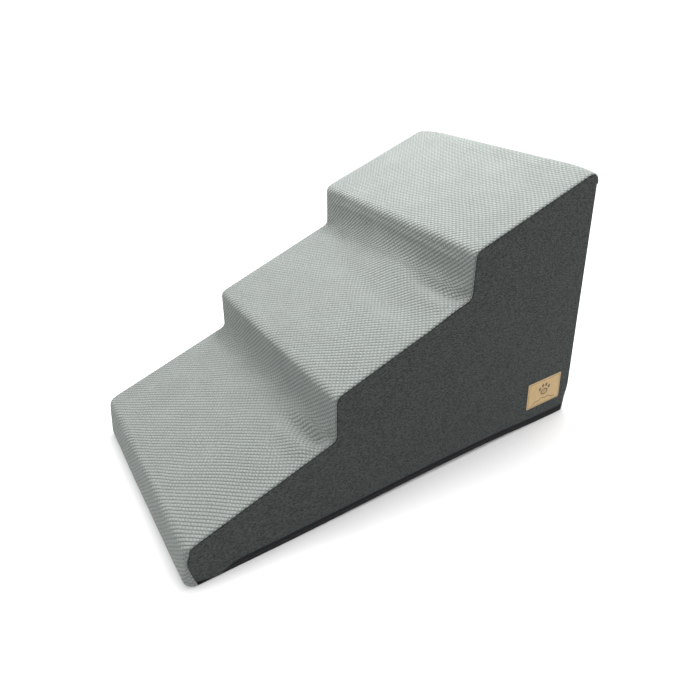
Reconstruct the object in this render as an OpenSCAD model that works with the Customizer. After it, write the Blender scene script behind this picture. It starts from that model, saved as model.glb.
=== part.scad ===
// Three-step foam stair for small dogs: a sloping-tread foam body in a zip-off cover.
// Millimetres. +Z is up, +X runs from the low front to the tall back, and the origin is at the
// middle of the footprint, on the floor.

/* [Body] */
// Length from the front face to the back face
body_l = 686; // [560:1:860]
// Width over both side panels
body_w = 400; // [300:1:520]
// Height of the front face, below the first tread
lip_h = 66; // [50:1:90]
// How far the front face leans back between the floor and the first tread
front_lean = 14; // [4:1:24]

/* [Steps] */
// Height gained along each sloping tread
tread_rise = 72; // [40:1:90]
// Height of each riser between two treads
riser_h = 67; // [50:1:90]
// How far each riser leans back
riser_lean = 5; // [2:1:12]
// Rounding of the noses
nose_r = 10; // [6:1:14]
// Rounding where a riser meets the tread below it
crease_r = 14; // [8:1:20]

/* [Cover] */
// Thickness of the knitted top cloth
knit_t = 2.4; // [1.6:0.1:3]
// Thickness of the woven side and back cloth
woven_t = 1.2; // [0.8:0.1:1.6]
// Thickness of the non-slip base cloth
base_t = 1.4; // [1:0.1:2]
// Rounding of the base's two back corners, seen from above
base_corner_r = 14; // [10:1:20]

/* [Zip] */
// Distance from the front face to the start of the zip
zip_start = 58; // [40:1:120]
// Top of the zip's band above the floor
zip_top = 13.2; // [12.8:0.1:14]
// Height of the folded hem behind the edge that faces the zip
hem_h = 9; // [7:1:12]
// Width of one half of the coil
coil_w = 2.4; // [2:0.1:2.6]
// Gap between the two halves of the coil, where the slider's post runs
coil_gap = 1.6; // [1.4:0.1:2]
// Thickness of the coil
coil_t = 2.1; // [1.8:0.1:2.2]
// Thickness of the zip tape
tape_t = 0.6; // [0.4:0.1:0.8]
// Length of the slider
slider_l = 12; // [10:0.5:14]
// Length of the pull beyond its pivot
pull_l = 24; // [18:1:30]

/* [Label] */
// Length of the sewn label
label_l = 73; // [50:1:90]
// Height of the sewn label
label_h = 49; // [35:1:60]
// Thickness of the label
label_t = 1.1; // [0.8:0.1:1.6]
// Distance from the label to the back edge of the side panel
label_from_back = 24; // [15:1:60]
// Distance from the floor to the label
label_from_floor = 36; // [28:1:60]

/* [Hidden] */

$fn = 48;
// Straight pieces in each rounded corner of an outline
arc_steps = 8;
// Running clearance round the slider
clear = 0.3;

steps = 3;
front_x = -body_l / 2;
back_x = body_l / 2;
side_y = body_w / 2;
tread_run = (body_l - front_lean) / steps;

// The side outline, anticlockwise seen from the right side, starting at the front foot.
// Each step adds the end of its tread and the top of its riser, and the last has no riser.
function step_x(i) = front_x + front_lean + i * tread_run;
function step_z(i) = lip_h + i * (tread_rise + riser_h);
stair = [
    for (i = [0 : steps - 1])
        each [
            [step_x(i) + (i == 0 ? 0 : riser_lean / 2), step_z(i)],
            [step_x(i + 1) - (i == steps - 1 ? 0 : riser_lean / 2), step_z(i) + tread_rise],
        ]
];
body_h = stair[2 * steps - 1][1];
outline = concat([[front_x, 0], [back_x, 0]], [for (i = [len(stair) - 1 : -1 : 0]) stair[i]]);
foot_r = 4;
back_foot_r = 2;
back_top_r = 6;

// Zip levels, measured at the right side and carried round the back to the left side
zip_x = front_x + zip_start;
hem_in = 2 * woven_t;
tape_in = hem_in + tape_t;
coil_in = hem_in - coil_t;
zip_mid = (zip_top + base_t) / 2;
coil_top = zip_mid + coil_gap / 2 + coil_w;
coil_bottom = zip_mid - coil_gap / 2 - coil_w;
tape_sewn = 8;
tape_turned = 6;
stop_l = 3;
pocket_in = hem_in + tape_turned + clear;
pocket_h = zip_top + hem_h + 1;

// Slider, set out along the left side: its plates lie inside and outside the tape
plate_t = 1;
slider_w = 9.6;
slider_rest_x = zip_x + slider_l / 2 + clear;
inner_plate_y = side_y - tape_in - clear - plate_t;
outer_plate_y = side_y - coil_in + clear;
pivot_y = outer_plate_y + plate_t + clear + 0.7;
pivot_r = 0.6;
pull_w = 7;
pull_t = 1.2;
bail_l = 7;
bail_w = 2;

// ---- Outline helpers -------------------------------------------------------------------

function unit(v) = v / norm(v);
function left_of(v) = [-v[1], v[0]];

// Moves each corner of a closed anticlockwise outline inwards, edge i by d[i]
function inset(p, d) = [
    for (i = [0 : len(p) - 1])
        let (
            before = (i + len(p) - 1) % len(p),
            n1 = left_of(unit(p[i] - p[before])),
            n2 = left_of(unit(p[(i + 1) % len(p)] - p[i])),
            c = n1 * n2
        )
        p[i] + (d[before] * (n1 - c * n2) + d[i] * (n2 - c * n1)) / (1 - c * c)
];

// The points of an arc of radius r that rounds the corner b between a and c
function arc(a, b, c, r) =
    let (
        u = unit(a - b),
        v = unit(c - b),
        half = acos(u * v) / 2,
        centre = b + unit(u + v) * r / sin(half),
        from = b + u * r / tan(half) - centre,
        to = b + v * r / tan(half) - centre,
        a0 = atan2(from[1], from[0]),
        turn = (atan2(to[1], to[0]) - a0 + 540) % 360 - 180
    )
    [for (k = [0 : arc_steps]) centre + r * [cos(a0 + turn * k / arc_steps), sin(a0 + turn * k / arc_steps)]];

function rounded(p, r) = [
    for (i = [0 : len(p) - 1])
        each arc(p[(i + len(p) - 1) % len(p)], p[i], p[(i + 1) % len(p)], r[i])
];

// Insets of the base, the back and every stair edge
function edge_insets(base, back, top) =
    [for (i = [0 : len(outline) - 1]) i == 0 ? base : i == 1 ? back : top];

// Corner radii in the outline's order, kept concentric when the stair edges move in by top
function corner_radii(top) = concat(
    [foot_r, back_foot_r, back_top_r - top],
    [for (i = [2 * steps - 2 : -1 : 0]) i % 2 == 0 ? nose_r - top : crease_r + top]
);

// The side outline, inset and with its corners rounded
module side_shape(base, back, top) {
    polygon(rounded(inset(outline, edge_insets(base, back, top)), corner_radii(top)));
}

// Draws in the X-Z plane and gives it a thickness along +Y from y
module across(y, t) {
    translate([0, y + t, 0])
        rotate([90, 0, 0])
            linear_extrude(t)
                children();
}

// The footprint inside the zip line, from x on, with its two back corners rounded
module footprint(in, x) {
    r = base_corner_r - in;
    w = side_y - in;
    b = back_x - in;
    polygon(concat(
        [[x, -w]],
        arc([x, -w], [b, -w], [b, w], r),
        arc([b, -w], [b, w], [x, w], r),
        [[x, w]]
    ));
}

// A band of thickness t that runs down the right side, across the back and up the left side
module band(in, t, z, h) {
    translate([0, 0, z])
        linear_extrude(h)
            difference() {
                footprint(in, zip_x);
                footprint(in + t, zip_x - 1);
            }
}

// ---- Foam ------------------------------------------------------------------------------

// One of the foam blocks, which are cut to the stair outline and glued face to face at the risers
module foam_block(i) {
    x0 = i == 0 ? front_x : step_x(i);
    x1 = i == steps - 1 ? back_x : step_x(i + 1);
    difference() {
        across(-side_y + woven_t, body_w - 2 * woven_t)
            intersection() {
                side_shape(base_t, woven_t, knit_t);
                translate([x0, 0]) square([x1 - x0, body_h]);
            }
        // Room for the zip behind the lower edge of the cover
        translate([0, 0, -1])
            linear_extrude(pocket_h + 1)
                difference() {
                    translate([zip_x - stop_l, -side_y]) square([body_l, body_w]);
                    footprint(pocket_in, zip_x - stop_l - 1);
                }
    }
}

module foam_block_low() {
    color("#f2efe6") foam_block(0);
}

module foam_block_mid() {
    color("#ece8dc") foam_block(1);
}

module foam_block_high() {
    color("#f2efe6") foam_block(2);
}

// ---- Cover -----------------------------------------------------------------------------

// One continuous strip of knitted cloth, from the front foot over every tread and riser
module top_panel() {
    color("#a9b0ab")
        across(-side_y, body_w)
            difference() {
                side_shape(0, 0, 0);
                side_shape(-5, -5, knit_t);
                translate([front_x - 5, -1]) square([body_l + 10, base_t + 1]);
            }
}

// A flat woven panel under the knit's edge, stepped up over the zip, with its hem folded inside
module side_panel() {
    cloth_y = -side_y;
    difference() {
        across(cloth_y, woven_t) side_shape(base_t, 0, knit_t);
        translate([zip_x - stop_l, cloth_y - 1, -1]) cube([body_l, woven_t + 2, zip_top + 1]);
    }
    translate([zip_x - stop_l, cloth_y + woven_t, zip_top])
        cube([back_x - hem_in - zip_x + stop_l, woven_t, hem_h]);
}

module right_side_panel() {
    color("#444a4a") side_panel();
}

module left_side_panel() {
    color("#444a4a") mirror([0, 1, 0]) side_panel();
}

// The back panel, sewn between the side panels, with the same hem above the zip
module rear_panel() {
    color("#404646") {
        w = body_w - 2 * woven_t;
        translate([back_x - woven_t, -w / 2, zip_top]) cube([woven_t, w, body_h - knit_t - zip_top]);
        translate([back_x - hem_in, -w / 2, zip_top]) cube([woven_t, w, hem_h]);
    }
}

module base_panel() {
    color("#1c1d1e") linear_extrude(base_t) footprint(0, front_x + 1);
}

// ---- Zip -------------------------------------------------------------------------------

// The upper tape: its coil edge shows below the hem and the rest is sewn behind it
module zip_tape_upper() {
    color("#161718") band(hem_in, tape_t, coil_top - coil_w, zip_top + tape_sewn - coil_top + coil_w);
}

// The lower tape: it stands behind the coil, then turns in and is sewn flat to the base
module zip_tape_lower() {
    color("#161718") {
        band(hem_in, tape_t, base_t + tape_t, coil_bottom + coil_w - base_t - tape_t);
        band(hem_in, tape_turned, base_t, tape_t);
    }
}

module zip_coil_upper() {
    color("#202223") band(coil_in, coil_t, coil_top - coil_w, coil_w);
}

module zip_coil_lower() {
    color("#202223") band(coil_in, coil_t, coil_bottom, coil_w);
}

// The thread that locks both coils together at each end of the zip, against the coils' ends
module zip_end_stitching() {
    color("#141516")
        for (side = [-1, 1])
            translate([zip_x - stop_l, side > 0 ? side_y - hem_in : -side_y + coil_in, coil_bottom])
                cube([stop_l, coil_t, coil_top - coil_bottom]);
}

// The slider: two plates joined by a post that runs between the coils, and a bail for the pull
module zip_slider() {
    plate_z = zip_mid - slider_w / 2;
    lip_in = 1.9;
    color("#2b2d2f")
        translate([slider_rest_x, 0, 0]) {
            translate([-slider_l / 2, inner_plate_y, plate_z]) cube([slider_l, plate_t, slider_w]);
            difference() {
                translate([-slider_l / 2, outer_plate_y - lip_in, plate_z])
                    cube([slider_l, lip_in + plate_t, slider_w]);
                translate([-slider_l, outer_plate_y - lip_in - 1, plate_z + 0.8])
                    cube([2 * slider_l, lip_in + 1, slider_w - 1.6]);
            }
            translate([slider_l / 2 - 5, inner_plate_y + plate_t / 2, zip_mid - coil_gap / 2 + clear])
                cube([4, outer_plate_y - inner_plate_y, coil_gap - 2 * clear]);
            // The bail is an arch over the pull's crossbar
            translate([0, 0, zip_mid - bail_w / 2])
                linear_extrude(bail_w)
                    difference() {
                        translate([-bail_l / 2, outer_plate_y + plate_t / 2])
                            square([bail_l, pivot_y - outer_plate_y + 1.2]);
                        translate([-bail_l / 2 + 1.2, outer_plate_y + plate_t])
                            square([bail_l - 2.4, pivot_y - outer_plate_y - plate_t + pivot_r + clear]);
                    }
        }
}

// The pull: a crossbar through the bail, two arms beside it and a flat tongue with a slot
module zip_pull() {
    arm_in = bail_w / 2 + 0.5;
    tongue_from = bail_l / 2 + 1;
    color("#34373a")
        translate([slider_rest_x, pivot_y, zip_mid]) {
            translate([0, 0, -pull_w / 2]) cylinder(h = pull_w, r = pivot_r);
            for (side = [-1, 1])
                translate([0, -pull_t / 2, side > 0 ? arm_in : -pull_w / 2])
                    cube([tongue_from, pull_t, pull_w / 2 - arm_in]);
            rotate([90, 0, 0])
                translate([0, 0, -pull_t / 2])
                    linear_extrude(pull_t)
                        difference() {
                            union() {
                                translate([tongue_from - 0.1, -pull_w / 2])
                                    square([pull_l - pull_w / 2 - tongue_from, pull_w]);
                                translate([pull_l - pull_w / 2 - 0.1, 0]) circle(r = pull_w / 2);
                            }
                            translate([pull_l - pull_w / 2, 0]) circle(r = 1.8);
                        }
        }
}

// ---- Label -----------------------------------------------------------------------------

label_x = back_x - label_from_back - label_l;

module label() {
    r = 2;
    color("#c8a77c")
        across(-side_y - label_t, label_t)
            polygon(rounded(
                [
                    [label_x, label_from_floor],
                    [label_x + label_l, label_from_floor],
                    [label_x + label_l, label_from_floor + label_h],
                    [label_x, label_from_floor + label_h],
                ],
                [r, r, r, r]
            ));
}

// A row of n stitches along one edge of the label
module stitch_row(from, n, step, size) {
    for (k = [0 : n - 1])
        translate([from[0] + k * step[0], -side_y - label_t - 0.4, from[1] + k * step[1]])
            translate([-size[0] / 2, 0, -size[1] / 2]) cube([size[0], 0.4, size[1]]);
}

module label_stitching() {
    in = 2.5;
    pitch = 4;
    stitch = 2.6;
    thread = 0.5;
    across_n = floor((label_l - 2 * in) / pitch);
    up_n = floor((label_h - 2 * in) / pitch);
    x0 = label_x + (label_l - (across_n - 1) * pitch) / 2;
    z0 = label_from_floor + (label_h - (up_n - 1) * pitch) / 2;
    color("#8f7550") {
        for (z = [label_from_floor + in, label_from_floor + label_h - in])
            stitch_row([x0, z], across_n, [pitch, 0], [stitch, thread]);
        for (x = [label_x + in, label_x + label_l - in])
            stitch_row([x, z0], up_n, [0, pitch], [thread, stitch]);
    }
}

foam_block_low();
foam_block_mid();
foam_block_high();
top_panel();
right_side_panel();
left_side_panel();
rear_panel();
base_panel();
zip_tape_upper();
zip_tape_lower();
zip_coil_upper();
zip_coil_lower();
zip_end_stitching();
zip_slider();
zip_pull();
label();
label_stitching();
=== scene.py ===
import math

import bpy
import numpy as np
from mathutils import Euler, Matrix, Vector, noise
from mathutils.geometry import delaunay_2d_cdt


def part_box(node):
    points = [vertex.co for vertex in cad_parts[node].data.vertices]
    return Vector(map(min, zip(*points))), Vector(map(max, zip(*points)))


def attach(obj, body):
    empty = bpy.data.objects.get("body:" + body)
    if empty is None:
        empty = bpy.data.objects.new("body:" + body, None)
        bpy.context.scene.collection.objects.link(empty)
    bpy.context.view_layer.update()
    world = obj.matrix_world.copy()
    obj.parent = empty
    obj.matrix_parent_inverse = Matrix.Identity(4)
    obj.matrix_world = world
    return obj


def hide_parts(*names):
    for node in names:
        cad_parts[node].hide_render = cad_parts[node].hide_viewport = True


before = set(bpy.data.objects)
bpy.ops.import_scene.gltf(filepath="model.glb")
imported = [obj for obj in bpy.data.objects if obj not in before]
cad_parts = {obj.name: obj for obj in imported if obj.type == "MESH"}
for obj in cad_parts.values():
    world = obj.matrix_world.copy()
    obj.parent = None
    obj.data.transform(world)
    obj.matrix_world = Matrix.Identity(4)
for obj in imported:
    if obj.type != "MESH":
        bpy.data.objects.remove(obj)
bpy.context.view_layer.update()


# ---- Studio ----------------------------------------------------------------------------
# A white floor under broad soft light, and a camera that looks down on the stair's right side
# from beyond its low front end.

camera = bpy.data.objects.new("camera", bpy.data.cameras.new("camera"))
bpy.context.scene.collection.objects.link(camera)
bpy.context.scene.camera = camera
camera.data.sensor_width = 36
camera.data.lens = 32.1
camera_place = Vector((-0.405, -0.778, 0.658))
camera_turn = Euler((math.radians(90 - 30.53), 0, math.radians(-29.48))).to_matrix()
camera_roll = Matrix.Rotation(math.radians(-3.6), 3, "Z")
camera.matrix_world = Matrix.Translation(camera_place) @ (camera_turn @ camera_roll).to_4x4()
camera.data.clip_start = 0.01

bpy.context.scene.view_settings.view_transform = "Standard"
bpy.context.scene.view_settings.look = "None"


def softbox(name, place, aim, size, power):
    """A square lamp panel at a place, facing a point."""
    light = bpy.data.lights.new(name, "AREA")
    light.size = size
    light.energy = power
    lamp = bpy.data.objects.new(name, light)
    bpy.context.scene.collection.objects.link(lamp)
    lamp.location = place
    lamp.rotation_euler = (Vector(aim) - Vector(place)).to_track_quat("-Z", "Y").to_euler()


softbox("top_step_lamp", (0.25, 0.12, 0.88), (0.2, 0.05, 0.4), 0.6, 4.7)
softbox("ceiling_lamp", (0.46, 0.16, 2.1), (0, 0, 0.2), 1.0, 29)


class Reading:
    """A node's output, which plain arithmetic turns into Math nodes."""

    def __init__(self, recipe, socket):
        self.recipe = recipe
        self.socket = socket

    def math(self, operation, other=0.0, swapped=False):
        first, second = (other, self) if swapped else (self, other)
        return self.recipe.node("ShaderNodeMath", {"operation": operation}, {0: first, 1: second})

    def __add__(self, other):
        return self.math("ADD", other)

    def __sub__(self, other):
        return self.math("SUBTRACT", other)

    def __rsub__(self, other):
        return self.math("SUBTRACT", other, swapped=True)

    def __mul__(self, other):
        return self.math("MULTIPLY", other)

    def __truediv__(self, other):
        return self.math("DIVIDE", other)

    def __pow__(self, other):
        return self.math("POWER", other)

    __radd__ = __add__
    __rmul__ = __mul__

    def sine(self):
        return self.math("SINE")

    def size(self):
        return self.math("ABSOLUTE")

    def most(self, other):
        return self.math("MAXIMUM", other)

    def rise(self, low, high):
        """0 below low and 1 above high, with a smooth step between."""
        return self.recipe.node(
            "ShaderNodeMapRange", {"interpolation_type": "SMOOTHSTEP"}, {0: self, 1: low, 2: high}
        )

    def other(self, name):
        """Another output of the same node."""
        return Reading(self.recipe, self.socket.node.outputs[name])


class Recipe:
    """Adds nodes to a node tree."""

    def __init__(self, tree):
        self.tree = tree
        self.tree.nodes.clear()

    def node(self, kind, settings=None, sockets=None, output=0):
        """Adds a node, with its settings first and then its sockets' values or links."""
        made = self.tree.nodes.new(kind)
        for name, value in (settings or {}).items():
            setattr(made, name, value)
        for name, value in (sockets or {}).items():
            if isinstance(value, Reading):
                self.tree.links.new(value.socket, made.inputs[name])
            else:
                made.inputs[name].default_value = value
        return Reading(self, made.outputs[output]) if made.outputs else made

    def tint(self, mask, low, high):
        """Blends two colours by a mask."""
        colours = {0: mask, 6: (*low, 1) if isinstance(low, tuple) else low,
                   7: (*high, 1) if isinstance(high, tuple) else high}
        return self.node("ShaderNodeMix", {"data_type": "RGBA"}, colours, output=2)


# Soft white light from all round: strongest overhead, half as strong low in the sky, brighter again
# in a band at the horizon, and even from below, where the floor would send light back
world = bpy.data.worlds.new("studio")
bpy.context.scene.world = world
world.use_nodes = True
sky = Recipe(world.node_tree)
sky_way = sky.node("ShaderNodeTexCoord", output="Generated")
sky_up = sky.node("ShaderNodeSeparateXYZ", None, {0: sky_way}).other("Z")
haze = sky_up.rise(-0.12, -0.02) * 0.26 - sky_up.rise(0.02, 0.15) * 0.4
sky_level = sky_up.most(0.0) * 0.76 + haze + 0.79
sky_glow = sky.node("ShaderNodeBackground", None, {"Color": (1, 1, 1, 1), "Strength": sky_level})
sky.node("ShaderNodeOutputWorld", None, {"Surface": sky_glow})


def finish_of(name, build, **constants):
    """A material whose surface is one Principled shader. build gives its varying inputs."""
    material = bpy.data.materials.new(name)
    material.use_nodes = True
    recipe = Recipe(material.node_tree)
    varying = build(recipe)
    height = varying.pop("height", None)
    if height is not None:
        reading, depth = height
        varying["Normal"] = recipe.node(
            "ShaderNodeBump", None, {"Strength": 1.0, "Distance": depth, "Height": reading}
        )
    shader = recipe.node("ShaderNodeBsdfPrincipled", None, {**constants, **varying})
    recipe.node("ShaderNodeOutputMaterial", None, {"Surface": shader})
    return material


def floor_pattern(recipe):
    place = recipe.node("ShaderNodeTexCoord", output="Object")
    mottle = recipe.node("ShaderNodeTexNoise", None, {"Vector": place, "Scale": 3.0})
    return {"Base Color": recipe.tint(mottle, (0.90, 0.90, 0.90), (0.93, 0.93, 0.93))}


def mesh_piece(name, points, faces, material, uv=None, smooth=True):
    """A mesh object at the origin. uv holds one pair for each point, in metres of cloth."""
    mesh = bpy.data.meshes.new(name)
    mesh.from_pydata([tuple(p) for p in points], [], [tuple(f) for f in faces])
    if uv is not None:
        layer = mesh.uv_layers.new(name="cloth")
        for loop in mesh.loops:
            layer.data[loop.index].uv = uv[loop.vertex_index]
    mesh.polygons.foreach_set("use_smooth", [smooth] * len(mesh.polygons))
    mesh.materials.append(material)
    mesh.update()
    piece = bpy.data.objects.new(name, mesh)
    bpy.context.scene.collection.objects.link(piece)
    return piece


floor_half = 60.0
floor = mesh_piece(
    "studio_floor",
    [(x * floor_half, y * floor_half, 0) for x, y in ((-1, -1), (1, -1), (1, 1), (-1, 1))],
    [(0, 1, 2, 3)],
    finish_of("floor_paint", floor_pattern, Roughness=0.9),
)
floor.visible_diffuse = False
floor.visible_shadow = False


# ---- Cover outline ---------------------------------------------------------------------
# The side outline that every cover panel is cut to: a leaning front face, then three sloping
# treads with a riser between each two, seen from the right side with x across and z up.

base_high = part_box("base_panel")[1]
side_y = base_high.y
back_x = base_high.x
front_x = -back_x
base_top = base_high.z
zip_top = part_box("rear_panel")[0].z
zip_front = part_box("zip_coil_upper")[0].x
stop_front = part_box("zip_end_stitching")[0].x

steps = 3
nose_heights = (0.0650, 0.2025, 0.3440)
crease_heights = (0.1372, 0.2772, 0.4138)
front_lean = 0.014
riser_lean = 0.005
nose_r = 0.0085
crease_r = 0.0065
foot_r = 0.008
foot_in = 0.003
foot_turned = 0.0195
run = (back_x - front_x - front_lean) / steps
cloth_pitch = 0.006


def unit(v):
    return v / np.linalg.norm(v)


def rounded_path(corners, radii, chord=0.0006):
    """An open path through corners, each rounded by its radius with short chords."""
    points = [corners[0]]
    for before, corner, after, radius in zip(corners, corners[1:], corners[2:], radii):
        u, v = unit(before - corner), unit(after - corner)
        half = math.acos(np.clip(u @ v, -1, 1)) / 2
        centre = corner + unit(u + v) * radius / math.sin(half)
        start = corner + u * radius / math.tan(half) - centre
        end = corner + v * radius / math.tan(half) - centre
        angle = math.atan2(start[1], start[0])
        turn = (math.atan2(end[1], end[0]) - angle + 3 * math.pi) % (2 * math.pi) - math.pi
        count = max(3, int(abs(turn) * radius / chord))
        for k in range(count + 1):
            a = angle + turn * k / count
            points.append(centre + radius * np.array([math.cos(a), math.sin(a)]))
    points.append(corners[-1])
    return np.array(points)


def distances(points):
    """How far each point of a path lies from its start, along the path."""
    return np.concatenate([[0], np.cumsum(np.linalg.norm(np.diff(points, axis=0), axis=1))])


def even_path(points, pitch):
    """The same path with evenly spaced points, and the distance along it of each."""
    along = distances(points)
    spots = np.linspace(0, along[-1], int(round(along[-1] / pitch)) + 1)
    return np.stack([np.interp(spots, along, points[:, k]) for k in (0, 1)], 1), spots


def smooth_step(value, low, high):
    t = np.clip((value - low) / (high - low), 0, 1)
    return t * t * (3 - 2 * t)


foot_z = 0.0008
corners = [(front_x + foot_turned, foot_z), (front_x + foot_in, foot_z)]
for step in range(steps):
    nose_x = front_x + front_lean + step * run
    last = step == steps - 1
    corners.append((nose_x + (riser_lean / 2 if step else 0), nose_heights[step]))
    corners.append((nose_x + run - (0 if last else riser_lean / 2), crease_heights[step]))
body_top = corners[-1][1]
back_seam_z = body_top - 0.022
back_top_r = 0.014
corners.append((back_x, back_seam_z))
corners = np.array(corners)
corner_radii = [foot_r, *[nose_r, crease_r] * (steps - 1), nose_r, back_top_r]
outline, along = even_path(rounded_path(corners, corner_radii), cloth_pitch)
rows = len(outline)


def along_at(corner):
    """How far along the outline its nearest row to a corner lies."""
    return along[np.argmin(np.linalg.norm(outline - corner, axis=1))]


forward = np.gradient(outline, axis=0)
forward /= np.linalg.norm(forward, axis=1)[:, None]
outward = np.stack([-forward[:, 1], forward[:, 0]], 1)

# The seam lies on the side face just inside the outline, and further back at the front. The knit
# stands a little proud of the outline between its seams, and rolls down to them
proud = 0.0014
seam_in = 0.0008
rim_y = 0.0048
front_rim = 0.0125
front_turn = 0.009
lip_along = along_at(corners[2])
front_share = 1 - smooth_step(along, lip_along - 0.020, lip_along + 0.012)
rim = rim_y + (front_turn - rim_y) * front_share
seam = outline - outward * (seam_in + (front_turn - seam_in) * front_share)[:, None]
foot_height = np.maximum(outline[:, 1], foot_z + 0.0007 * np.arange(rows))
foot_curl = np.clip(1 - foot_height / 0.05, 0, 1) ** 2
front_seam = np.stack([front_x + front_rim + 0.0065 * foot_curl, foot_height], 1)
upright = (1 - smooth_step(along, lip_along - 0.022, lip_along - 0.004))[:, None]
seam = seam * (1 - upright) + front_seam * upright


# ---- Foam body -------------------------------------------------------------------------
# Three blocks of open-cell upholstery foam, cut to the outline with a hot wire and glued face to
# face. They fill the cover and are only seen when it is unzipped.

def foam_pattern(recipe):
    place = recipe.node("ShaderNodeTexCoord", output="Object")
    cells = recipe.node("ShaderNodeTexVoronoi", None, {"Vector": place, "Scale": 900.0})
    cloud = recipe.node("ShaderNodeTexNoise", None, {"Vector": place, "Scale": 14.0, "Detail": 4.0})
    pits = cells.rise(0.1, 0.55)
    colour = recipe.tint(pits * 0.6 + cloud * 0.4, (0.62, 0.58, 0.46), (0.86, 0.83, 0.72))
    return {"Base Color": colour, "height": (pits, 0.0004)}


foam_finish = finish_of("upholstery_foam", foam_pattern, Roughness=0.95)
foam_slack = 0.0064
for node in ("foam_block_low", "foam_block_mid", "foam_block_high"):
    block_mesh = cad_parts[node].data.copy()
    foam = bpy.data.objects.new(node.replace("foam_block", "foam"), block_mesh)
    bpy.context.scene.collection.objects.link(foam)
    block_mesh.materials.clear()
    block_mesh.materials.append(foam_finish)
    weld = foam.modifiers.new("weld", "WELD")
    weld.merge_threshold = 0.00002
    remesh = foam.modifiers.new("remesh", "REMESH")
    remesh.mode = "VOXEL"
    remesh.voxel_size = 0.005
    remesh.use_smooth_shade = True
    press = foam.modifiers.new("press", "DISPLACE")
    press.mid_level = 0
    press.strength = -foam_slack
    pressed = bpy.data.meshes.new_from_object(
        foam.evaluated_get(bpy.context.evaluated_depsgraph_get())
    )
    foam.modifiers.clear()
    foam.data = pressed
    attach(foam, "stair")
    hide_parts(node)


# ---- Knitted top panel -----------------------------------------------------------------
# One strip of thick stretch knit with a raised diamond stitch. It runs from under the front foot
# over every tread and riser, and is sewn down both sides while stretched, so it is pinned in each
# crease at its edges and bridges it softly in the middle.

def lattice(recipe, along_rate, across_rate):
    """The two diagonal counts of a diamond stitch, and the stitch's height from 0 to 1."""
    cloth = recipe.node("ShaderNodeUVMap", {"uv_map": "cloth"})
    wander = recipe.node("ShaderNodeTexNoise", None, {"Vector": cloth, "Scale": 9.0, "Detail": 1.0})
    split = recipe.node("ShaderNodeSeparateXYZ", None, {0: cloth})
    u = split * across_rate
    v = split.other("Y") * along_rate
    drift = (wander - 0.5) * 1.6
    rib = ((v + u + drift) * math.pi).sine().size()
    knot = ((v - u + drift) * math.pi).sine().size()
    return cloth, rib ** 0.7 * (knot ** 0.7 * 0.88 + 0.12)


def knit_pattern(recipe):
    cloth, stitch_height_and_gap_shade = lattice(recipe, 145.0, 124.0)
    fuzz = recipe.node("ShaderNodeTexNoise", None, {"Vector": cloth, "Scale": 1500.0, "Detail": 2.0})
    patches = recipe.node("ShaderNodeTexNoise", None, {"Vector": cloth, "Scale": 22.0, "Detail": 3.0})
    stitch = recipe.node("ShaderNodeTexNoise", None, {"Vector": cloth, "Scale": 330.0, "Detail": 1.0})
    # The stitch's height also darkens the colour between the raised stitches: painted shade in the knit's
    # hollows, with real tone noise on top.
    light = stitch_height_and_gap_shade * 0.55 + fuzz * 0.3 + (stitch - 0.5) * 0.8 + (patches - 0.5) * 0.3
    colour = recipe.tint(light.rise(0.0, 0.9), (0.146, 0.156, 0.149), (0.272, 0.297, 0.280))
    return {"Base Color": colour, "height": (stitch_height_and_gap_shade + fuzz * 0.15, 0.0020)}


knit_finish = finish_of(
    "stretch_knit", knit_pattern, Roughness=0.9,
    **{"Sheen Weight": 0.3, "Sheen Roughness": 0.4, "Sheen Tint": (0.9, 0.97, 0.93, 1)},
)

cols = int(round(2 * (side_y - rim_y) / cloth_pitch)) + 1
across = np.linspace(-1, 1, cols)
flat_half = side_y - rim
cloth_points = np.zeros((rows, cols, 3))
cloth_points[:, :, 0] = outline[:, 0, None]
cloth_points[:, :, 1] = flat_half[:, None] * across[None, :]
cloth_points[:, :, 2] = outline[:, 1, None]


def grid_faces(count, width):
    return [
        (i * width + j, (i + 1) * width + j, (i + 1) * width + j + 1, i * width + j + 1)
        for i in range(count - 1)
        for j in range(width - 1)
    ]


def stretch_over_foam(points):
    """Pulls the knit tight over the foam, held along its seams, and gives where it settles."""
    count, width = points.shape[:2]
    knit = mesh_piece("knit_rig", points.reshape(-1, 3), grid_faces(count, width), knit_finish)
    below = outline - outward * 0.0015
    foam_skin = [(x, y, z) for x, z in below for y in (-side_y, side_y)]
    skin_faces = [(2 * i, 2 * i + 2, 2 * i + 3, 2 * i + 1) for i in range(count - 1)]
    former = mesh_piece("foam_rig", foam_skin, skin_faces, foam_finish)
    former.modifiers.new("solid", "COLLISION")
    former.collision.thickness_outer = 0.001
    former.collision.cloth_friction = 0
    former.collision.use_culling = True
    former.collision.use_normal = True
    held = knit.vertex_groups.new(name="seams")
    edge = [
        i * width + j
        for i in range(count)
        for j in range(width)
        if j in (0, width - 1) or i in (0, count - 1)
    ]
    held.add(edge, 1.0, "REPLACE")
    cloth = knit.modifiers.new("cloth", "CLOTH")
    settings = cloth.settings
    settings.quality = 8
    settings.mass = 0.15
    settings.vertex_group_mass = "seams"
    settings.pin_stiffness = 50
    settings.tension_stiffness = 40
    settings.compression_stiffness = 40
    settings.shear_stiffness = 10
    settings.bending_stiffness = 0.2
    settings.tension_damping = 15
    settings.compression_damping = 15
    settings.shear_damping = 15
    settings.air_damping = 5
    settings.shrink_min = 0.011
    settings.effector_weights.gravity = 0
    cloth.collision_settings.distance_min = 0.0008
    cloth.collision_settings.collision_quality = 3
    for frame_number in range(1, 19):
        bpy.context.scene.frame_set(frame_number)
    pulled = knit.evaluated_get(bpy.context.evaluated_depsgraph_get())
    flat = np.zeros(count * width * 3)
    pulled.data.vertices.foreach_get("co", flat)
    bpy.context.scene.frame_set(1)
    for rig in (knit, former):
        bpy.data.objects.remove(rig)
    return flat.reshape(points.shape)


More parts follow.
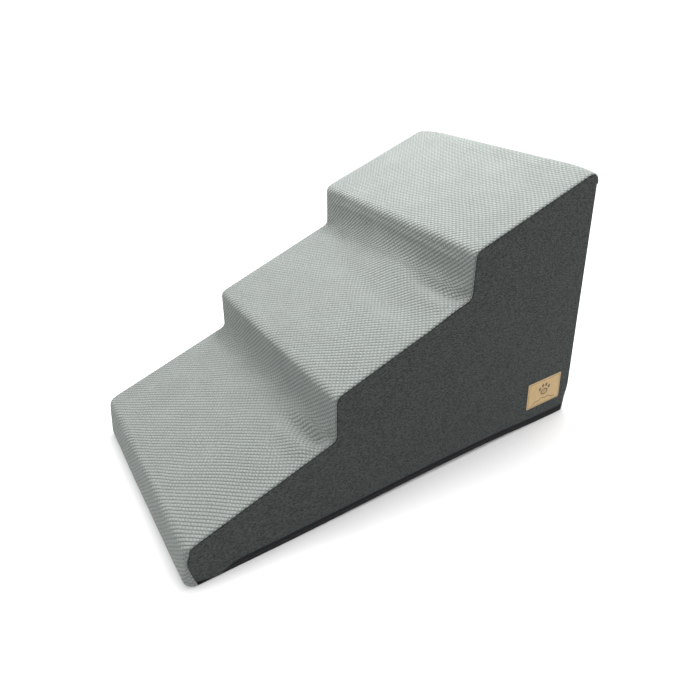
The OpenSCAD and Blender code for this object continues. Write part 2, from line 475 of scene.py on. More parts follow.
settled_points = stretch_over_foam(cloth_points)
from_seam = flat_half[:, None] * (1 - np.abs(across[None, :]))
pinch = 1 - 0.8 * np.exp(-((from_seam / 0.028) ** 2))
cloth_points += (settled_points - cloth_points) * pinch[:, :, None]

crease_along = [along_at(corner) for corner in corners[3:-2:2]]
back_top_along = along_at(corners[-2])
fold_pull = 0.0115
fold_swell = 0.0060
groove_depth = 0.0092
slack_swell = 0.0050
valley_depth = 0.0050
valley_bank = 0.0090
back_roll = 0.0042


def bell(distance, width):
    """1 at no distance, falling softly to 0 over a few widths."""
    return math.exp(-((distance / width) ** 2))


def crease_pucker(spot, y, from_edge):
    """The fold that each seam draws up in the creases: a groove, a swell over it and one under."""
    pucker = 0
    for at, strength in zip(crease_along, (1.0, 0.5)):
        fold = spot - at + fold_pull * (1 - math.exp(-from_edge / 0.014))
        held_in = smooth_step(from_edge, 0.002, 0.014) * (1 - smooth_step(from_edge, 0.05, 0.12))
        held_in *= strength * (1 if y < 0 else 0.5)
        over = smooth_step(fold, -0.005, 0.005) * (1 - smooth_step(fold, 0.011, 0.030))
        groove = groove_depth * bell(fold + 0.007, 0.0078)
        swell = slack_swell * bell(fold + 0.028, 0.012)
        pucker += held_in * (fold_swell * over - groove + swell)
    return pucker


def tread_valley(spot, y):
    """The shallow valley that runs askew over the middle tread, and the bank above it."""
    sag = spot - crease_along[1] + 0.066 - 0.10 * (y + 0.03)
    reach = ((y + 0.045) / 0.10) ** 2
    valley = valley_depth * math.exp(-((sag / 0.020) ** 2) - reach)
    bank = valley_bank * math.exp(-(((sag - 0.050) / 0.024) ** 2) - reach)
    return bank - valley


# Soft waves where the spare length gathers, strongest on each tread just below its riser, and a
# fuller roll over the top of the back
for i in range(rows):
    near = sum(bell(along[i] - at + 0.03, 0.035) for at in crease_along)
    for j in range(cols):
        x, y, z = cloth_points[i, j]
        wave = noise.noise(Vector((x * 9, y * 26, z * 9))) * 0.0011 * near
        wave += noise.noise(Vector((x * 11, y * 11, z * 11 + 5))) * 0.0006
        wave *= 1 - abs(across[j]) ** 6
        roll = back_roll * bell(along[i] - back_top_along, 0.016) * (1 - abs(across[j]) ** 10)
        from_edge = flat_half[i] * (1 - abs(across[j]))
        lift = wave + proud + crease_pucker(along[i], y, from_edge) + tread_valley(along[i], y) + roll
        cloth_points[i, j, 0] += outward[i, 0] * lift
        cloth_points[i, j, 2] = max(cloth_points[i, j, 2] + outward[i, 1] * lift, 0.0009)

# The edges roll over to the seams and turn in there
seam_depth = 0.0012
rim_angles = [math.radians(a) for a in (24, 48, 72, 90)]
rim_cloth = np.array([0.42, 0.84, 1.25, 1.57, 1.9])
top_rows = []
top_uv = []
for i in range(rows):
    ring = []
    for side in (-1, 1):
        edge = cloth_points[i, 0 if side < 0 else -1]
        lean = seam[i] - outline[i] - outward[i] * proud
        curve = [
            (edge[0] + lean[0] * (1 - math.cos(a)),
             side * (side_y - rim[i] * (1 - math.sin(a))),
             edge[2] + lean[1] * (1 - math.cos(a)))
            for a in rim_angles
        ]
        end_x, _, end_z = curve[-1]
        tucked = (end_x + lean[0] * 0.12, side * (side_y - seam_depth), end_z + lean[1] * 0.12)
        ring.append(curve + [tucked])
    left, right = ring
    row = left[::-1] + [tuple(p) for p in cloth_points[i]] + right
    top_rows.append(row)
    spread = np.concatenate([
        -flat_half[i] - rim[i] * rim_cloth[::-1],
        flat_half[i] * across,
        flat_half[i] + rim[i] * rim_cloth,
    ])
    top_uv += [(c, along[i]) for c in spread]
top_width = len(top_rows[0])
top_panel = mesh_piece(
    "knit_top_panel",
    [p for row in top_rows for p in row],
    grid_faces(rows, top_width),
    knit_finish,
    top_uv,
)


def give_body(piece, thickness, levels=1):
    """Smooths a cloth panel and gives it thickness, inwards from its outer face."""
    if levels:
        round_off = piece.modifiers.new("round_off", "SUBSURF")
        round_off.levels = levels
        round_off.render_levels = levels
        round_off.boundary_smooth = "PRESERVE_CORNERS"
    body = piece.modifiers.new("body", "SOLIDIFY")
    body.thickness = thickness
    body.offset = -1


give_body(top_panel, 0.0018)
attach(top_panel, "stair")
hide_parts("top_panel")


# ---- Woven side panels -----------------------------------------------------------------
# Charcoal melange upholstery cloth, one flat panel a side. Its upper edge is sewn to the knit in
# a tight plain seam, and its lower edge is folded into a hem that faces the zip.

def melange_pattern(recipe):
    cloth = recipe.node("ShaderNodeUVMap", {"uv_map": "cloth"})
    split = recipe.node("ShaderNodeSeparateXYZ", None, {0: cloth})
    u = split
    v = split.other("Y")
    threads = 1250.0
    weft = (v * (threads * math.pi)).sine().size()
    warp = (u * (threads * math.pi)).sine().size()
    turn = ((u + v) * (threads * math.pi / 2)).sine() * ((u - v) * (threads * math.pi / 2)).sine()
    over = turn.rise(-0.3, 0.3)
    weave = weft * over + warp * (1 - over)

    def slubs(u_rate, v_rate, seed):
        place = recipe.node("ShaderNodeCombineXYZ", None, {0: u * u_rate, 1: v * v_rate, 2: seed})
        return recipe.node("ShaderNodeTexNoise", None, {"Vector": place, "Scale": 1.0, "Detail": 2.0})

    level = slubs(260.0, 1350.0, 1.7)
    plumb = slubs(1350.0, 320.0, 6.3)
    cloud = slubs(60.0, 60.0, 3.1)
    flecks = level.rise(0.44, 0.60).most(plumb.rise(0.52, 0.66) * 0.7)
    light = flecks * 0.75 + weave * 0.15 + (cloud - 0.5) * 0.2
    colour = recipe.tint(light.rise(0.0, 0.9), (0.0020, 0.0030, 0.0029), (0.053, 0.066, 0.062))
    return {"Base Color": colour, "height": (weave * 0.4 + flecks * 0.8, 0.0004)}


melange_finish = finish_of(
    "charcoal_melange", melange_pattern, Roughness=0.88,
    **{"Sheen Weight": 0.04, "Sheen Roughness": 0.5},
)


def shrunk(loop, distance):
    """A closed anticlockwise loop moved inwards by a small distance."""
    ahead = np.roll(loop, -1, axis=0) - loop
    ahead /= np.linalg.norm(ahead, axis=1)[:, None]
    behind = np.roll(ahead, 1, axis=0)
    n1 = np.stack([-behind[:, 1], behind[:, 0]], 1)
    n2 = np.stack([-ahead[:, 1], ahead[:, 0]], 1)
    share = np.maximum(1 + (n1 * n2).sum(1), 0.4)[:, None]
    return loop + distance * (n1 + n2) / share


def inside_loop(points, loop):
    """Which points lie inside a closed loop."""
    x, y = points[:, 0:1], points[:, 1:2]
    x0, y0 = loop[:, 0], loop[:, 1]
    x1, y1 = np.roll(x0, -1), np.roll(y0, -1)
    crosses = (y0 > y) != (y1 > y)
    with np.errstate(divide="ignore", invalid="ignore"):
        at = x0 + (y - y0) * (x1 - x0) / (y1 - y0)
    return (crosses & (x < at)).sum(1) % 2 == 1


def cut_panel(name, loop, rings, fill_pitch, to_space, finish):
    """A flat-cut panel: rings are pairs of inset and depth, so that its edge rolls inwards."""
    points = [shrunk(loop, inset) for inset, _ in rings]
    depths = [np.full(len(loop), depth) for _, depth in rings]
    margin = shrunk(loop, rings[-1][0] + fill_pitch * 0.6)
    low, high = loop.min(0), loop.max(0)
    lines = np.arange(low[1], high[1], fill_pitch * 0.866)
    fill = [
        (x + (fill_pitch / 2 if k % 2 else 0), y)
        for k, y in enumerate(lines)
        for x in np.arange(low[0], high[0], fill_pitch)
    ]
    fill = np.array(fill)
    fill = fill[inside_loop(fill, margin)]
    points.append(fill)
    depths.append(np.full(len(fill), rings[-1][1]))
    flat = np.concatenate(points)
    depth = np.concatenate(depths)
    border = list(range(len(loop)))
    made = delaunay_2d_cdt([Vector(p) for p in flat], [], [border], 1, 1e-7)
    flat_points, faces, origins = made[0], made[2], made[3]
    kept_depth = [depth[o[0]] if o else 0.0 for o in origins]
    space = [to_space(p[0], p[1], d) for p, d in zip(flat_points, kept_depth)]
    return mesh_piece(name, space, faces, finish, [(p[0], p[1]) for p in flat_points])


# The upright back corners are rounded, with a seam half way round between side and back panel
def corner_round(z):
    """The upright corner's radius, larger just above the zip."""
    return 0.004 + 0.009 * (1 - smooth_step(z, zip_top + 0.004, zip_top + 0.042))


def corner_cut(z):
    """How far a panel's cut edge stops short of the square corner."""
    return corner_round(z) * (1 - math.pi / 4)


seam_gap = 0.0005
hem_rings = [(0.0, 0.0012), (0.0004, 0.0005), (0.0010, 0.00015), (0.0020, 0.0), (0.0045, 0.0)]
panel_pitch = 0.008
edge_pitch = 0.006

# The long right edge sits a few millimetres off the floor in the middle, where the foam arches
arch_h = 0.0052
arch_x = 0.10


def settled(x, y, z):
    """A height after the foam's arch along the right edge."""
    share = 1 - smooth_step(y, -side_y, 0.02)
    rises = smooth_step(x, front_x + 0.11, arch_x - 0.02)
    falls = 1 - smooth_step(x, arch_x + 0.05, back_x - 0.03)
    return float(z + arch_h * share * (rises * falls) * max(0.0, 1 - z / 0.13))


def bowed(x, z):
    """How far the long lower edge bows out of flat, in and out, between its ends."""
    return 0.0006 * math.sin(7 * x + 2) * math.exp(-z / 0.08)


def side_space(side):
    def place(x, z, depth):
        ripple = noise.noise(Vector((x * 7, z * 7, side * 4.0))) * 0.0005 + bowed(x, z)
        r = corner_round(z)
        past = max(0.0, x - (back_x - r)) / r
        calm = max(0.0, 1 - past * 3)
        out = side_y - r * (1 - math.cos(past)) - depth * math.cos(past) + min(ripple, 0.0004) * calm
        x_place = min(x, back_x - r) + r * math.sin(past) - depth * math.sin(past)
        return (x_place, side * out, settled(x, side * side_y, z))
    return place


seam_inset = seam - outward * seam_gap
foot_rows = int(np.argmax(along > 0.012))
upper = seam_inset[foot_rows:]
upper[:, 1] = np.maximum(upper[:, 1], 0.0012)
upright_z = np.linspace(zip_top, back_seam_z - seam_gap, 66)
side_upright = [(back_x - corner_cut(z), z) for z in upright_z]


def side_cut(hem_start):
    """The side panel's cut, with its lower edge's first points given, and its area."""
    lower = np.array([(stop_front - 0.006, 0.0012), *hem_start, *side_upright])
    loop = []
    for a, b in zip(np.vstack([upper[0:1], lower]), np.vstack([lower, upper[-1:]])):
        count = max(1, int(np.linalg.norm(b - a) / edge_pitch))
        loop += [a + (b - a) * k / count for k in range(count)]
    loop = np.array(loop + list(upper[::-1][:-1]))
    after = np.roll(loop, -1, axis=0)
    return loop, 0.5 * abs((loop[:, 0] * after[:, 1] - loop[:, 1] * after[:, 0]).sum())


left_start = [
    (stop_front - 0.0005, 0.004), (stop_front, zip_top - 0.001), (stop_front + 0.001, zip_top),
]
right_start = [
    (stop_front - 0.001, 0.0018), (stop_front, 0.0052), (stop_front + 0.005, 0.0072),
    (stop_front + 0.012, 0.0102), (stop_front + 0.020, 0.0121), (stop_front + 0.030, zip_top),
]
for name, side, node, hem_start in (
    ("right_woven_panel", -1, "right_side_panel", right_start),
    ("left_woven_panel", 1, "left_side_panel", left_start),
):
    side_loop, side_area = side_cut(hem_start)
    panel = cut_panel(name, side_loop, hem_rings, panel_pitch, side_space(side), melange_finish)
    if side > 0:
        panel.data.flip_normals()
    give_body(panel, 0.001, levels=0)
    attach(panel, "stair")
    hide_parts(node)
    side_flat = tuple(side_loop.max(0) - side_loop.min(0))


# ---- Woven back panel ------------------------------------------------------------------
# The same charcoal cloth over the upright back, from the knit's end down to the zip.

def back_space(y, z, depth):
    r = corner_round(z)
    past = max(0.0, abs(y) - (side_y - r)) / r
    ripple = noise.noise(Vector((y * 6, z * 6, 9.0))) * 0.0005 * max(0.0, 1 - past * 3)
    out = back_x - r * (1 - math.cos(past)) - depth * math.cos(past) + min(ripple, 0.0002)
    y_place = min(abs(y), side_y - r) + r * math.sin(past) - depth * math.sin(past)
    return (out, math.copysign(y_place, y), settled(back_x, y, z))


back_loop = []
back_upright = [(side_y - corner_cut(z), z) for z in upright_z]
far_upright = [(-y, z) for y, z in back_upright[:0:-1]]
back_corners = np.array([(-back_upright[0][0], zip_top), *back_upright, *far_upright])
for a, b in zip(back_corners, np.roll(back_corners, -1, axis=0)):
    count = max(1, int(np.linalg.norm(b - a) / edge_pitch))
    back_loop += [a + (b - a) * k / count for k in range(count)]
back_loop = np.array(back_loop)
back_panel = cut_panel(
    "back_woven_panel", back_loop, hem_rings, panel_pitch, back_space, melange_finish
)
give_body(back_panel, 0.001, levels=0)
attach(back_panel, "stair")
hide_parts("rear_panel")
back_flat = tuple(back_loop.max(0) - back_loop.min(0))


# ---- Base cloth ------------------------------------------------------------------------
# Black non-slip cloth over the underside, butted to the knit's turned-under front and sewn to the
# lower half of the zip round its other three sides. Small rubber dots stand on its underside.

def rubbered_pattern(recipe):
    place = recipe.node("ShaderNodeTexCoord", output="Object")
    split = recipe.node("ShaderNodeSeparateXYZ", None, {0: place})
    threads = 900.0 * math.pi
    weave = (split * threads).sine().size() * (split.other("Y") * threads).sine().size()
    dust = recipe.node("ShaderNodeTexNoise", None, {"Vector": place, "Scale": 60.0, "Detail": 5.0})
    colour = recipe.tint(weave * 0.6 + dust * 0.4, (0.006, 0.006, 0.007), (0.030, 0.031, 0.033))
    return {"Base Color": colour, "Roughness": 0.8 - dust * 0.3, "height": (weave, 0.0003)}


rubbered_finish = finish_of("non_slip_cloth", rubbered_pattern)
base_front = front_x + foot_turned + 0.0004
base_side = side_y - 0.0013
base_back = back_x - 0.0004
base_round = 0.014
base_under = 0.0004
dot_pitch = 0.010
dot_size = 0.0016


def base_line(front, side, back, radius, spacing=0.006):
    """A line round the base's right side, back and left side, with rounded back corners."""
    turn = [math.pi / 2 * k / 8 for k in range(9)]
    near = [(back - radius + radius * math.sin(a), -side + radius - radius * math.cos(a)) for a in turn]
    length = back - radius - front
    count = round(length / spacing)
    run_in = [(front + length * k / count, -side) for k in range(count)]
    width = 2 * (side - radius)
    count = round(width / spacing)
    cross = [(back, -side + radius + width * k / count) for k in range(1, count)]
    half = run_in + near
    return np.array(half + cross + [(x, -y) for x, y in half[::-1]])


base_rear = base_line(base_front, base_side, base_back, base_round)
base_edge = [(base_front, base_side - 2 * base_side * k / 66) for k in range(1, 66)]
base_loop = np.concatenate([base_rear, np.array(base_edge)])
base_cloth = cut_panel(
    "base_cloth", base_loop, [(0.0, 0.0), (0.002, 0.0)], 0.012,
    lambda x, y, depth: (x, y, settled(x, y, base_top - depth)), rubbered_finish,
)
give_body(base_cloth, base_top - base_under, levels=0)


def grown(source, name, tree, values):
    """Runs a node tree on a piece with the given inputs, and keeps its result as a plain mesh."""
    grow = source.modifiers.new("grow", "NODES")
    grow.node_group = tree
    for item in tree.interface.items_tree:
        if item.in_out == "INPUT" and item.name in values:
            grow[item.identifier] = values[item.name]
    result = bpy.data.meshes.new_from_object(
        source.evaluated_get(bpy.context.evaluated_depsgraph_get())
    )
    bpy.data.objects.remove(source)
    piece = bpy.data.objects.new(name, result)
    bpy.context.scene.collection.objects.link(piece)
    return piece


def growing_tree(name, inputs):
    """An empty geometry node tree with its named inputs, and the recipe and reading to fill it."""
    tree = bpy.data.node_groups.new(name, "GeometryNodeTree")
    tree.interface.new_socket("Geometry", in_out="INPUT", socket_type="NodeSocketGeometry")
    tree.interface.new_socket("Geometry", in_out="OUTPUT", socket_type="NodeSocketGeometry")
    for label, kind in inputs.items():
        tree.interface.new_socket(label, in_out="INPUT", socket_type=kind)
    recipe = Recipe(tree)
    return tree, recipe, recipe.node("NodeGroupInput")


def close_tree(recipe, shape, given):
    """Ends a tree with real, smooth faces in its given material."""
    real = recipe.node("GeometryNodeRealizeInstances", None, {"Geometry": shape})
    smooth = recipe.node("GeometryNodeSetShadeSmooth", None, {"Geometry": real})
    finish = recipe.node(
        "GeometryNodeSetMaterial", None, {"Geometry": smooth, "Material": given.other("Material")}
    )
    recipe.node("NodeGroupOutput", None, {"Geometry": finish})


dot_tree, dot_recipe, dot_given = growing_tree(
    "rubber_dots",
    {"Dot Size": "NodeSocketFloat", "Dot Height": "NodeSocketFloat", "Material": "NodeSocketMaterial"},
)
dot_shape = dot_recipe.node(
    "GeometryNodeMeshCone", {"fill_type": "NGON"},
    {"Vertices": 9, "Side Segments": 1, "Radius Top": 0.62, "Radius Bottom": 1.0, "Depth": 1.0},
)
dot_scale = dot_recipe.node(
    "ShaderNodeCombineXYZ", None,
    {0: dot_given.other("Dot Size"), 1: dot_given.other("Dot Size"), 2: dot_given.other("Dot Height")},
)
dot_placed = dot_recipe.node(
    "GeometryNodeInstanceOnPoints", None,
    {"Points": dot_given, "Instance": dot_shape, "Scale": dot_scale, "Rotation": (math.pi, 0, 0)},
)
close_tree(dot_recipe, dot_placed, dot_given)

dot_tall = base_under - 0.00005
dot_spots = []
dot_lines = np.arange(base_front + 0.012, base_back - 0.008, dot_pitch * 0.866)
for k, x in enumerate(dot_lines):
    for y in np.arange(-base_side + 0.012, base_side - 0.010, dot_pitch):
        shift = dot_pitch / 2 if k % 2 else 0
        dot_spots.append((x, y + shift, settled(x, y + shift, dot_tall)))
dot_seeds = mesh_piece("dot_seeds", dot_spots, [], rubbered_finish)


def rubber_pattern(recipe):
    place = recipe.node("ShaderNodeTexCoord", output="Object")
    grain = recipe.node("ShaderNodeTexNoise", None, {"Vector": place, "Scale": 400.0, "Detail": 3.0})
    colour = recipe.tint(grain, (0.010, 0.010, 0.011), (0.040, 0.040, 0.042))
    return {"Base Color": colour, "Roughness": 0.45 + grain * 0.2, "height": (grain, 0.0001)}


rubber_finish = finish_of("dot_rubber", rubber_pattern)
rubber_dots = grown(
    dot_seeds, "rubber_dots", dot_tree,
    {"Dot Size": dot_size, "Dot Height": dot_tall, "Material": rubber_finish},
)
for piece in (base_cloth, rubber_dots):
    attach(piece, "stair")
    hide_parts("base_panel")


# ---- Zip tapes -------------------------------------------------------------------------
# Black polyester tape in a herringbone weave. The upper half is sewn behind the panels' hems. The
# lower half stands up from the base and turns in under it.

def tape_pattern(recipe):
    cloth = recipe.node("ShaderNodeUVMap", {"uv_map": "cloth"})
    split = recipe.node("ShaderNodeSeparateXYZ", None, {0: cloth})
    u = split * 1500.0
    v = split.other("Y")
    band = (v * (430.0 * math.pi)).sine().size() * 2.6
    herring = ((u + band) * math.pi).sine().size()
    lint = recipe.node("ShaderNodeTexNoise", None, {"Vector": cloth, "Scale": 500.0, "Detail": 3.0})
    colour = recipe.tint(herring * 0.6 + lint * 0.4, (0.010, 0.011, 0.012), (0.046, 0.049, 0.052))
    return {"Base Color": colour, "height": (herring + lint * 0.3, 0.0002)}


tape_finish = finish_of("zip_tape", tape_pattern, Roughness=0.72)
hem_in = side_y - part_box("zip_tape_upper")[1].y
tape_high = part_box("zip_tape_upper")
tape_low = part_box("zip_tape_lower")
tape_t = 0.0005
tape_start = zip_front - 0.0028


def swept(name, profile, start, finish):
    """A strip along the zip's route, from a profile of insets from the side face and heights."""
    lines = [base_line(start, side_y - inset, back_x - inset, base_round - min(inset, 0.012), 0.004)
             for inset, _ in profile]
    count = min(len(line) for line in lines)
    lines = [even_path(line, distances(line)[-1] / (count - 1))[0] for line in lines]
    points = []
    uv = []
    wide = distances(np.array(profile))
    long = distances(lines[0])
    for i in range(count):
        for (inset, z), line, w in zip(profile, lines, wide):
            points.append((*line[i], settled(*line[i], z)))
            uv.append((long[i], w))
    strip = mesh_piece(name, points, grid_faces(count, len(profile)), finish, uv)
    return strip, (float(wide[-1]), float(long[-1]))


upper_heights = np.linspace(tape_high[0].z, tape_high[1].z, 5)
upper_profile = [(hem_in, z) for z in upper_heights]
leg_z = base_top + 0.0006
lower_profile = [
    (hem_in + 0.006, leg_z), (hem_in + 0.003, leg_z), (hem_in + 0.0006, leg_z),
    (hem_in, leg_z + 0.0006), (hem_in, leg_z + 0.0022), (hem_in, tape_low[1].z),
]
for name, profile, node in (
    ("upper_zip_tape", upper_profile, "zip_tape_upper"),
    ("lower_zip_tape", lower_profile, "zip_tape_lower"),
):
    tape, tape_flat = swept(name, profile, tape_start, tape_finish)
    give_body(tape, tape_t, levels=0)
    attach(tape, "stair")
    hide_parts(node)


# ---- Zip coils -------------------------------------------------------------------------
# Nylon wire wound into a row of loops and sewn to the edge of each tape. The two rows mesh when the
# slider closes them.

def nylon_pattern(recipe):
    place = recipe.node("ShaderNodeTexCoord", output="Object")
    drawn = recipe.node("ShaderNodeTexNoise", None, {"Vector": place, "Scale": 700.0, "Detail": 2.0})
    colour = recipe.tint(drawn, (0.010, 0.011, 0.012), (0.032, 0.034, 0.036))
    return {"Base Color": colour, "Roughness": 0.32 + drawn * 0.2, "height": (drawn, 0.00005)}


nylon_finish = finish_of("zip_nylon", nylon_pattern)
tooth_pitch = 0.0015
wire_r = 0.00042
tooth_lean = 0.22
coil_tree, coil_recipe, coil_given = growing_tree(
    "zip_coil",
    {"Pitch": "NodeSocketFloat", "Tooth Depth": "NodeSocketFloat", "Tooth Height": "NodeSocketFloat",
     "Wire Radius": "NodeSocketFloat", "Lean": "NodeSocketFloat", "Material": "NodeSocketMaterial"},
)
coil_curve = coil_recipe.node("GeometryNodeMeshToCurve", None, {"Mesh": coil_given})
coil_level = coil_recipe.node("GeometryNodeSetCurveNormal", {"mode": "Z_UP"}, {"Curve": coil_curve})
coil_points = coil_recipe.node(
    "GeometryNodeCurveToPoints", {"mode": "LENGTH"},
    {"Curve": coil_level, "Length": coil_given.other("Pitch")},
)
tooth_loop = coil_recipe.node("GeometryNodeCurvePrimitiveCircle", None, {"Resolution": 9, "Radius": 0.5})
tooth_scale = coil_recipe.node(
    "ShaderNodeCombineXYZ", None,
    {0: coil_given.other("Tooth Depth"), 1: coil_given.other("Tooth Height"), 2: 1.0},
)
tooth_turn = coil_recipe.node("ShaderNodeCombineXYZ", None, {0: coil_given.other("Lean")})
tooth_oval = coil_recipe.node(
    "GeometryNodeTransform", None, {"Geometry": tooth_loop, "Scale": tooth_scale, "Rotation": tooth_turn}
)
wire_round = coil_recipe.node(
    "GeometryNodeCurvePrimitiveCircle", None, {"Resolution": 4, "Radius": coil_given.other("Wire Radius")}
)
tooth = coil_recipe.node("GeometryNodeCurveToMesh", None, {"Curve": tooth_oval, "Profile Curve": wire_round})
teeth = coil_recipe.node(
    "GeometryNodeInstanceOnPoints", None,
    {"Points": coil_points, "Instance": tooth, "Rotation": coil_points.other("Rotation")},
)
close_tree(coil_recipe, teeth, coil_given)

for name, node, meshes_to in (
    ("upper_zip_coil", "zip_coil_upper", -1), ("lower_zip_coil", "zip_coil_lower", 1),
):
    low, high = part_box(node)
    tall = high.z - low.z + 0.0002
    deep = hem_in - (side_y - high.y)
    inset = (side_y - high.y + hem_in) / 2
    line = base_line(low.x, side_y - inset, back_x - inset, base_round - inset)
    z = (low.z + high.z) / 2 + meshes_to * 0.0001
    route_mesh = bpy.data.meshes.new(name + "_line")
    route_mesh.from_pydata(
        [(x, y, settled(x, y, z)) for x, y in line], [(k, k + 1) for k in range(len(line) - 1)], []
    )
    route = bpy.data.objects.new(name + "_line", route_mesh)
    bpy.context.scene.collection.objects.link(route)
    coil = grown(
        route, name, coil_tree,
        {"Pitch": tooth_pitch, "Tooth Depth": deep - 2 * wire_r, "Tooth Height": tall - 2 * wire_r,
         "Wire Radius": wire_r, "Lean": tooth_lean, "Material": nylon_finish},
    )
    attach(coil, "stair")
    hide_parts(node)


# ---- Stitches at the zip's ends --------------------------------------------------------
# A bar of close stitches in black thread across both tapes locks each end of the zip.

def thread_pattern(low, high):
    def pattern(recipe):
        place = recipe.node("ShaderNodeTexCoord", output="Object")
        ply = recipe.node(
            "ShaderNodeTexWave", {"bands_direction": "DIAGONAL"},
            {"Vector": place, "Scale": 900.0, "Distortion": 1.0},
        )
        colour = recipe.tint(ply, low, high)
        return {"Base Color": colour, "height": (ply, 0.0001)}
    return pattern


stitch_tree, stitch_recipe, stitch_given = growing_tree(
    "stitches",
    {"Pitch": "NodeSocketFloat", "Stitch Length": "NodeSocketFloat", "Thread Radius": "NodeSocketFloat",
     "Material": "NodeSocketMaterial"},
)
stitch_curve = stitch_recipe.node("GeometryNodeMeshToCurve", None, {"Mesh": stitch_given})
stitch_points = stitch_recipe.node(
    "GeometryNodeCurveToPoints", {"mode": "LENGTH"},
    {"Curve": stitch_curve, "Length": stitch_given.other("Pitch")},
)
thread_bead = stitch_recipe.node(
    "GeometryNodeMeshUVSphere", None, {"Segments": 6, "Rings": 5, "Radius": 1.0}
)
thread_scale = stitch_recipe.node(
    "ShaderNodeCombineXYZ", None,
    {0: stitch_given.other("Thread Radius"), 1: stitch_given.other("Thread Radius"),
     2: stitch_given.other("Stitch Length") * 0.5},
)
stitch_run = stitch_recipe.node(
    "GeometryNodeInstanceOnPoints", None,
    {"Points": stitch_points, "Instance": thread_bead, "Rotation": stitch_points.other("Rotation"),
     "Scale": thread_scale},
)
close_tree(stitch_recipe, stitch_run, stitch_given)


def stitched(name, runs, pitch, length, radius, finish):
    """Stitches along straight or bent runs of points."""
    points = []
    edges = []
    for one in runs:
        edges += [(len(points) + k, len(points) + k + 1) for k in range(len(one) - 1)]
        points += one
    guide = bpy.data.meshes.new(name + "_guide")
    guide.from_pydata(points, edges, [])
    seed = bpy.data.objects.new(name + "_guide", guide)
    bpy.context.scene.collection.objects.link(seed)
    values = {"Pitch": pitch, "Stitch Length": length, "Thread Radius": radius, "Material": finish}
    return grown(seed, name, stitch_tree, values)


stop_low, stop_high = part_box("zip_end_stitching")
bar_count = 6
bar_gap = (stop_high.x - stop_low.x) / bar_count
bar_runs = []
for side in (-1, 1):
    for k in range(bar_count):
        x = stop_low.x + bar_gap * (k + 0.5)
        y = side * (side_y - 0.0016)
        lift = 0.0004 if k % 2 else 0
        bar_runs.append([(x, y, stop_low.z + 0.0004 + lift), (x, y, stop_high.z - 0.0008 + lift)])
black_ply = thread_pattern((0.008, 0.008, 0.009), (0.035, 0.036, 0.038))
bar_tack = stitched(
    "zip_end_stitches", bar_runs, (stop_high.z - stop_low.z - 0.0012) / 3, 0.0042, 0.0003,
    finish_of("black_thread", black_ply, Roughness=0.6),
)
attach(bar_tack, "stair")
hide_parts("zip_end_stitching")


# ---- Zip slider and pull ---------------------------------------------------------------
# A die-cast slider in dark lacquer with its bail, on the far side's front end, and a stamped pull
# that hangs from the bail. Both have softened edges, and bright worn patches here and there.

def gunmetal_pattern(recipe):
    place = recipe.node("ShaderNodeTexCoord", output="Object")
    cast = recipe.node("ShaderNodeTexNoise", None, {"Vector": place, "Scale": 900.0, "Detail": 4.0})
    scuffs = recipe.node("ShaderNodeTexNoise", None, {"Vector": place, "Scale": 260.0, "Detail": 6.0})
    worn = scuffs.rise(0.58, 0.7)
    colour = recipe.tint(worn, (0.045, 0.047, 0.050), (0.24, 0.24, 0.25))
    return {"Base Color": colour, "Roughness": 0.3 + cast * 0.25, "height": (cast + scuffs * 0.5, 0.00004)}


gunmetal = finish_of("zip_gunmetal", gunmetal_pattern, Metallic=0.9)
for name, node, body in (("slider_body", "zip_slider", "slider"), ("pull_tab", "zip_pull", "pull")):
    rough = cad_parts[node].data.copy()
    part = bpy.data.objects.new(name, rough)
    bpy.context.scene.collection.objects.link(part)
    rough.materials.clear()
    rough.materials.append(gunmetal)
    weld = part.modifiers.new("weld", "WELD")
    weld.merge_threshold = 0.00001
    soften = part.modifiers.new("soften", "BEVEL")
    soften.width = 0.00022
    soften.segments = 2
    soften.limit_method = "ANGLE"
    soften.angle_limit = math.radians(40)
    soften.harden_normals = False
    shaped = bpy.data.meshes.new_from_object(part.evaluated_get(bpy.context.evaluated_depsgraph_get()))
    part.modifiers.clear()
    part.data = shaped
    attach(part, body)
    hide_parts(node)


# ---- Label -----------------------------------------------------------------------------
# A tan leather-look patch with soft edges, sewn low on the right side near the back. A plain paw
# print over a short curved line is burnt into its face.

label_low, label_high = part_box("label")
label_x = (label_low.x + label_high.x) / 2
label_z = (label_low.z + label_high.z) / 2
label_half = (label_high.x - label_low.x) / 2
label_tall = (label_high.z - label_low.z) / 2
label_face = label_low.y


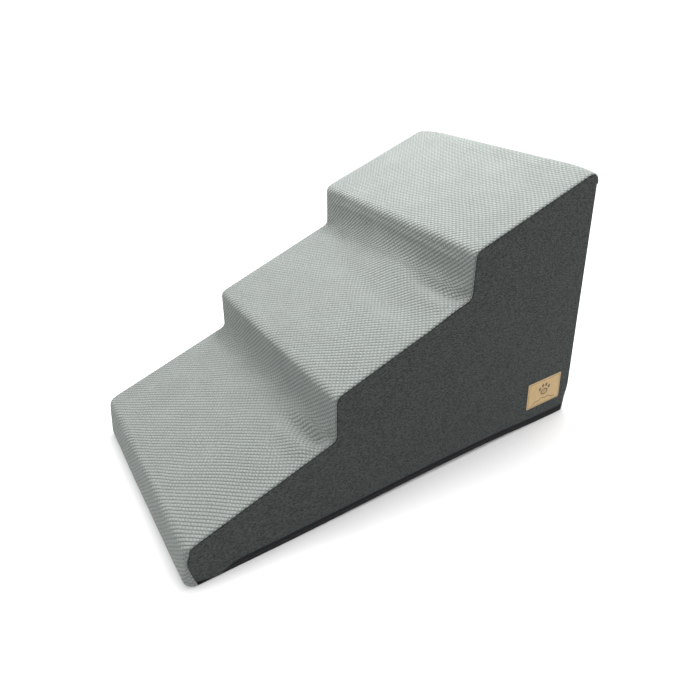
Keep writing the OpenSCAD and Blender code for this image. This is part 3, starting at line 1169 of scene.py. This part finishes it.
def leather_pattern(recipe):
    place = recipe.node("ShaderNodeTexCoord", output="Object")
    split = recipe.node("ShaderNodeSeparateXYZ", None, {0: place})
    x = split - label_x
    z = split.other("Z") - label_z
    grain = recipe.node("ShaderNodeTexVoronoi", None, {"Vector": place, "Scale": 1400.0})
    cloud = recipe.node("ShaderNodeTexNoise", None, {"Vector": place, "Scale": 90.0, "Detail": 5.0})
    streak = recipe.node("ShaderNodeTexNoise", None, {"Vector": place, "Scale": 420.0, "Detail": 3.0})

    def blot(at_x, at_z, wide, tall):
        """1 inside an oval and 0 outside it."""
        reach = ((x - at_x) / wide) ** 2 + ((z - at_z) / tall) ** 2
        return 1 - reach.rise(0.8, 1.15)

    paw = blot(0.0, 0.0, 0.0080, 0.0062) * (1 - blot(0.0, -0.0002, 0.0056, 0.0040) * 0.7)
    for toe_x, toe_z in ((-0.0100, 0.0070), (-0.0036, 0.0122), (0.0036, 0.0122), (0.0100, 0.0070)):
        paw = paw.most(blot(toe_x, toe_z, 0.0026, 0.0036))
    bow = z + 0.0125 + x * x * 9.0 + (x * 420.0).sine() * 0.0012
    line = (1 - bow.size().rise(0.0004, 0.0011)) * (1 - x.size().rise(0.024, 0.026))
    burnt = paw.most(line) * (0.62 + streak * 0.5)
    edge = (x.size() - label_half).most(z.size() - label_tall)
    border = 1 - (edge + 0.0024).size().rise(0.0002, 0.0007)
    # A paler tone painted round the outer millimetre of the edge is a painted highlight on the label's
    # rolled edge.
    rim_highlight = edge.rise(-0.0012, -0.0002)
    face = recipe.tint(cloud * 0.7 + streak * 0.3, (0.42, 0.285, 0.134), (0.665, 0.474, 0.239))
    creased = recipe.tint(border * 0.7, face, (0.16, 0.10, 0.05))
    edged = recipe.tint(rim_highlight * 0.5, creased, (0.48, 0.37, 0.24))
    colour = recipe.tint(burnt, edged, (0.085, 0.048, 0.025))
    height = grain * 0.25 - burnt * 0.7 - border * 0.6
    return {"Base Color": colour, "Roughness": 0.5 + cloud * 0.25, "height": (height, 0.0003)}


leather = finish_of("tan_leather_look", leather_pattern)
label_round = 0.002
label_loop = []
for corner_x, corner_z, from_angle in (
    (1, -1, -math.pi / 2), (1, 1, 0), (-1, 1, math.pi / 2), (-1, -1, math.pi),
):
    for k in range(6):
        a = from_angle + math.pi / 2 * k / 5
        label_loop.append((
            corner_x * (label_half - label_round) + label_round * math.cos(a),
            corner_z * (label_tall - label_round) + label_round * math.sin(a),
        ))
label_loop = even_path(np.array(label_loop + label_loop[:1]), 0.002)[0][:-1]


def label_place(x, z, depth):
    sag = noise.noise(Vector((x * 40, z * 40, 2.0))) * 0.00025
    return (label_x + x, label_face + 0.0002 + depth + sag * (1 - depth / 0.0008), label_z + z)


label_rings = [(0.0, 0.0009), (0.0001, 0.0005), (0.0004, 0.00012), (0.0009, 0.0)]
label = cut_panel("leather_label", label_loop, label_rings, 0.003, label_place, leather)
give_body(label, 0.0003, levels=0)

stitch_in = 0.0025
stitch_loop = shrunk(label_loop, stitch_in)
seam_line = [(label_x + x, label_face + 0.0001, label_z + z) for x, z in [*stitch_loop, stitch_loop[0]]]
tan_ply = thread_pattern((0.20, 0.13, 0.07), (0.42, 0.31, 0.19))
label_stitches = stitched(
    "label_stitches", [seam_line], 0.003, 0.0023, 0.00028,
    finish_of("tan_thread", tan_ply, Roughness=0.65),
)
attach(label, "stair")
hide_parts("label")
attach(label_stitches, "stair")
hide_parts("label_stitching")
